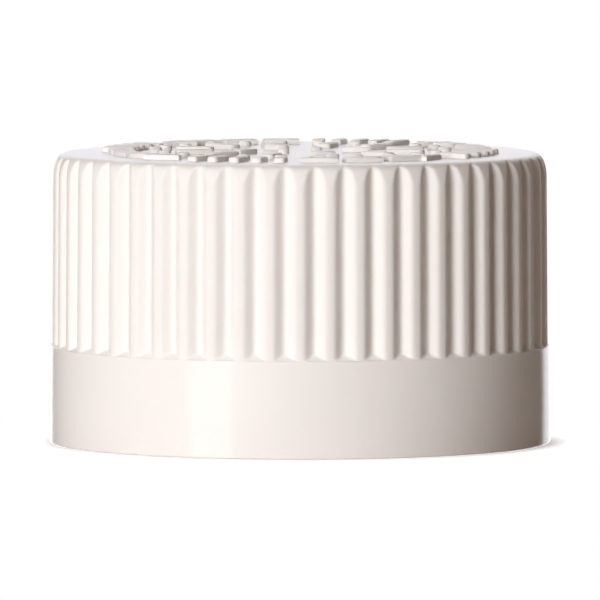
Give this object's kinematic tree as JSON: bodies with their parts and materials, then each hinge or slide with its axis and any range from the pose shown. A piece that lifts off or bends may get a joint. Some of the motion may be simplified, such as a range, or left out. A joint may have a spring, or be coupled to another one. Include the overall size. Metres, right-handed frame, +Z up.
{
  "type": "child-resistant cap",
  "caption": "White ribbed push-and-turn closure for a bottle neck: an outer shell turns idly on a threaded inner cap until it is pressed down against a star spring.",
  "frame": {"origin": "centre of the shell's rim, in the plane that the cap stands on", "axes": "+Z up along the cap's axis, from the mouth to the top face; -Y is the side that the picture shows"},
  "size_m": [0.034, 0.034, 0.02],
  "materials": {
    "white_shell": "satin",
    "white_inner": "satin",
    "spring_plastic": "satin",
    "liner_foam": "matte"
  },
  "bodies": {
    "inner": {"inner_cap": "white_inner", "liner": "liner_foam"},
    "spring": {"star_spring": "spring_plastic"},
    "shell": {"outer_shell": "white_shell"}
  },
  "joints": [
    {"name": "turn", "type": "hinge", "parent": "inner", "child": "spring", "pos_m": [0, 0, 0], "axis": [0, 0, 1], "continuous": true},
    {"name": "push_down", "type": "slide", "parent": "spring", "child": "shell", "axis": [0, 0, -1], "range_m": [0, 0.0012], "stiffness_N_per_m": 15000, "springref_m": -0.0006, "deforming": ["star_spring"]}
  ]
}
